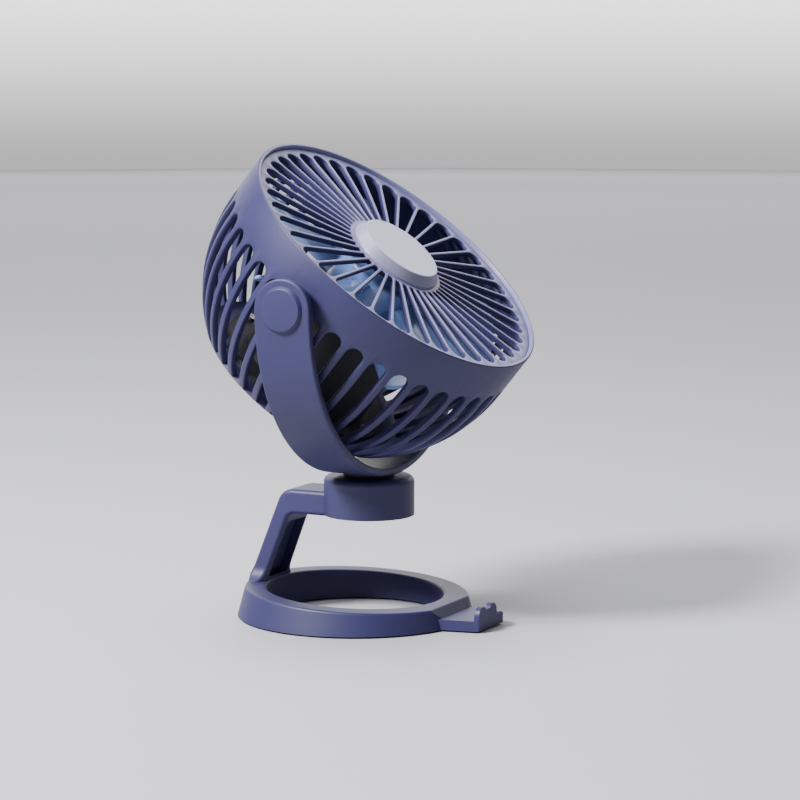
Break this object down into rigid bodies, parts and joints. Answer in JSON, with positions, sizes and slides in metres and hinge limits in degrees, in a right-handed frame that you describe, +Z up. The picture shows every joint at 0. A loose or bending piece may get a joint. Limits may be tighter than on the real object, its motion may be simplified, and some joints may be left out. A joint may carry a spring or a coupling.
{
  "type": "desk fan",
  "caption": "Small battery desk fan: slotted bowl head with a radial front guard, half-round yoke that tilts and swivels, leaning leg and ring foot with a phone lip.",
  "frame": {"origin": "on the floor under the foot, on the vertical axis about which the yoke swivels", "axes": "+X to the front, the way the head faces and the phone lip stands; +Y to the fan's left; +Z up"},
  "size_m": [0.1474, 0.168, 0.2138],
  "materials": {
    "indigo_plastic": "satin moulded plastic",
    "silver_paint": "satin silver coating",
    "blade_plastic": "smooth, slightly clear",
    "dark_plastic": "matt",
    "motor_steel": "satin",
    "screw_steel": "plated",
    "bearing_bronze": "plain",
    "battery_wrap": "shrink wrap",
    "board_laminate": "solder mask",
    "socket_steel": "plated",
    "clear_lens": "clear",
    "foot_rubber": "matt",
    "washer_nylon": "plain"
  },
  "bodies": {
    "stand": {"stand_body": "indigo_plastic", "base_plate": "indigo_plastic", "base_screws": "screw_steel", "foot_ring": "foot_rubber", "collar_cover": "indigo_plastic", "swivel_bush": "washer_nylon", "swivel_washer": "washer_nylon"},
    "yoke_frame": {"yoke": "indigo_plastic", "swivel_retainer": "screw_steel", "swivel_screw": "screw_steel", "pivot_cap_left": "indigo_plastic", "pivot_cap_right": "indigo_plastic", "pivot_washers": "washer_nylon"},
    "head": {"head_shell": "indigo_plastic", "front_grille": "indigo_plastic", "hub_cap": "silver_paint", "pivot_screws": "screw_steel", "motor_housing": "dark_plastic", "housing_screws": "screw_steel", "motor_can": "motor_steel", "motor_screws": "screw_steel", "motor_bearings": "bearing_bronze", "battery_pack": "battery_wrap", "control_board": "board_laminate", "board_screws": "screw_steel", "tact_switch": "dark_plastic", "usb_socket": "socket_steel", "indicator_lenses": "clear_lens", "rear_cover": "indigo_plastic", "rear_cover_screws": "screw_steel"},
    "rotor": {"impeller": "blade_plastic", "motor_shaft": "screw_steel"},
    "button": {"power_button": "indigo_plastic"}
  },
  "joints": [
    {"name": "yoke_swivel", "type": "hinge", "parent": "stand", "child": "yoke_frame", "pos_m": [0, 0, 0.0652], "axis": [0, 0, 1], "continuous": true},
    {"name": "head_tilt", "type": "hinge", "parent": "yoke_frame", "child": "head", "pos_m": [0, 0, 0.1487], "axis": [0, 1, 0], "continuous": true},
    {"name": "impeller_spin", "type": "hinge", "parent": "head", "child": "rotor", "pos_m": [0, 0, 0.1487], "axis": [0.632, 0, 0.7749], "continuous": true},
    {"name": "button_press", "type": "slide", "parent": "head", "child": "button", "axis": [0.632, 0, 0.7749], "range_m": [0, 0.0008], "stiffness_N_per_m": 800}
  ]
}
